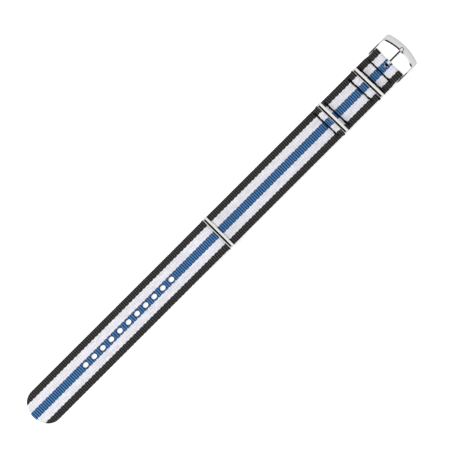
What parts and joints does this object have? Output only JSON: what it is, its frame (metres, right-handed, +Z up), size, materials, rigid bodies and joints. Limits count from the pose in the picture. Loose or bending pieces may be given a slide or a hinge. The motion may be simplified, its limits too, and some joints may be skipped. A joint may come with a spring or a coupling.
{
  "type": "watch strap",
  "caption": "Striped one-piece webbing watch strap with a metal tongue buckle on a spring bar and rectangular wire keepers sewn into its folds.",
  "frame": {"origin": "under the middle of the whole strap's length and width, on the surface that it lies on", "axes": "+X along the strap from the pointed end to the buckle, +Y across it, +Z up, away from the wrist"},
  "size_m": [0.2694, 0.0218, 0.0066],
  "materials": {
    "webbing": "woven nylon, black, white and blue stripes",
    "keeper_steel": "polished",
    "frame_steel": "satin",
    "tongue_steel": "polished",
    "bar_steel": "drawn",
    "thread": "bonded nylon thread"
  },
  "bodies": {
    "strap": {"main_strap": "webbing", "short_strap": "webbing", "needle_thread_a": "thread", "needle_thread_b": "thread", "needle_thread_c": "thread", "needle_thread_d": "thread", "needle_thread_e": "thread", "needle_thread_f": "thread", "bobbin_thread_a": "thread", "bobbin_thread_b": "thread", "bobbin_thread_c": "thread", "bobbin_thread_d": "thread", "bobbin_thread_e": "thread", "bobbin_thread_f": "thread"},
    "frame": {"buckle_frame": "frame_steel", "spring_bar_tube": "bar_steel", "spring_bar_spring": "bar_steel"},
    "tongue": {"buckle_tongue": "tongue_steel"},
    "tip_left": {"spring_bar_tip_left": "bar_steel"},
    "tip_right": {"spring_bar_tip_right": "bar_steel"},
    "keeper_1": {"keeper_1": "keeper_steel"},
    "keeper_2": {"keeper_2": "keeper_steel"},
    "keeper_3": {"keeper_3": "keeper_steel"}
  },
  "joints": [
    {"name": "buckle_swing", "type": "hinge", "parent": "strap", "child": "frame", "pos_m": [0.1213, 0, 0.00205], "axis": [0, -1, 0], "range_deg": [-90, 45]},
    {"name": "tongue_swing", "type": "hinge", "parent": "frame", "child": "tongue", "pos_m": [0.1213, 0, 0.00205], "axis": [0, -1, 0], "range_deg": [0, 75]},
    {"name": "tip_left_slide", "type": "slide", "parent": "frame", "child": "tip_left", "axis": [0, 1, 0], "range_m": [0, 0.0009], "stiffness_N_per_m": 400, "springref_m": -0.0008, "deforming": ["spring_bar_spring"]},
    {"name": "tip_right_slide", "type": "slide", "parent": "frame", "child": "tip_right", "axis": [0, -1, 0], "range_m": [0, 0.0009], "stiffness_N_per_m": 400, "springref_m": -0.0008},
    {"name": "keeper_1_tilt", "type": "hinge", "parent": "strap", "child": "keeper_1", "pos_m": [0.1063, 0, 0.00199], "axis": [0, 1, 0], "range_deg": [-28, 2]},
    {"name": "keeper_2_tilt", "type": "hinge", "parent": "strap", "child": "keeper_2", "pos_m": [0.0808, 0, 0.00199], "axis": [0, 1, 0], "range_deg": [-28, 2]},
    {"name": "keeper_3_tilt", "type": "hinge", "parent": "strap", "child": "keeper_3", "pos_m": [-0.0017, 0, 0.00199], "axis": [0, 1, 0], "range_deg": [-28, 2]}
  ]
}
